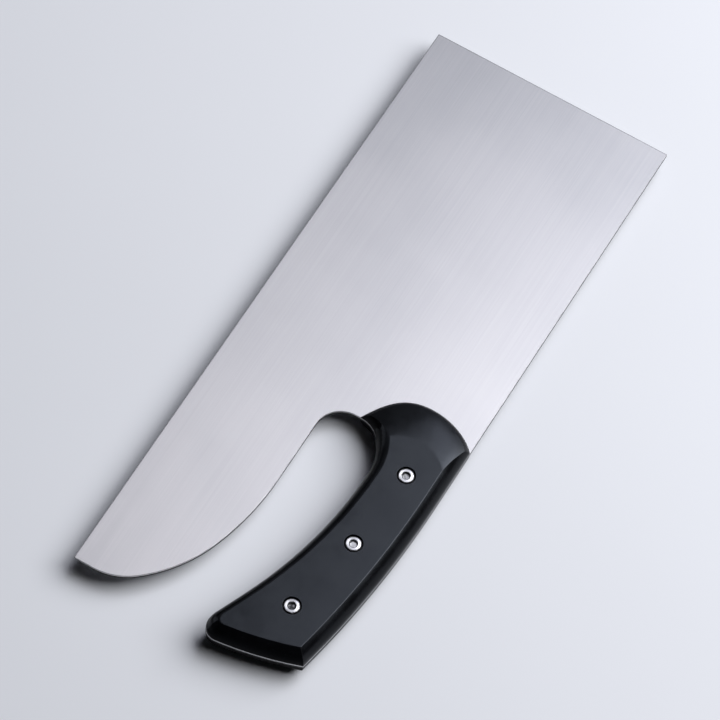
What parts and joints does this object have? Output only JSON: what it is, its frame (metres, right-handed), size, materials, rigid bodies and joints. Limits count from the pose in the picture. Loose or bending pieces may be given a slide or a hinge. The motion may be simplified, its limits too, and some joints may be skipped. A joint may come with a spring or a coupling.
{
  "type": "soba knife",
  "caption": "Wide square-ended noodle knife: a flat steel plate whose long heel runs back under the hand, a finger cut-out and a full tang between black handle scales held by socket screws.",
  "frame": {"origin": "centre of the knife's outline in plan, at the height of the lower scale's flat", "axes": "+X from the butt to the square front end, +Y from the spine to the cutting edge, +Z out of the flat blade face"},
  "size_m": [0.3026, 0.1124, 0.017],
  "materials": {
    "blade_steel": "fine satin grinding lines along the length",
    "scale_black": "satin black resin-bonded laminate",
    "screw_steel": "bright turned stainless steel",
    "nut_steel": "bright turned stainless steel"
  },
  "bodies": {
    "root": {"blade": "blade_steel", "upper_scale": "scale_black", "lower_scale": "scale_black", "screw_rear": "screw_steel", "screw_middle": "screw_steel", "screw_front": "screw_steel", "nut_rear": "nut_steel", "nut_middle": "nut_steel", "nut_front": "nut_steel"}
  },
  "joints": []
}
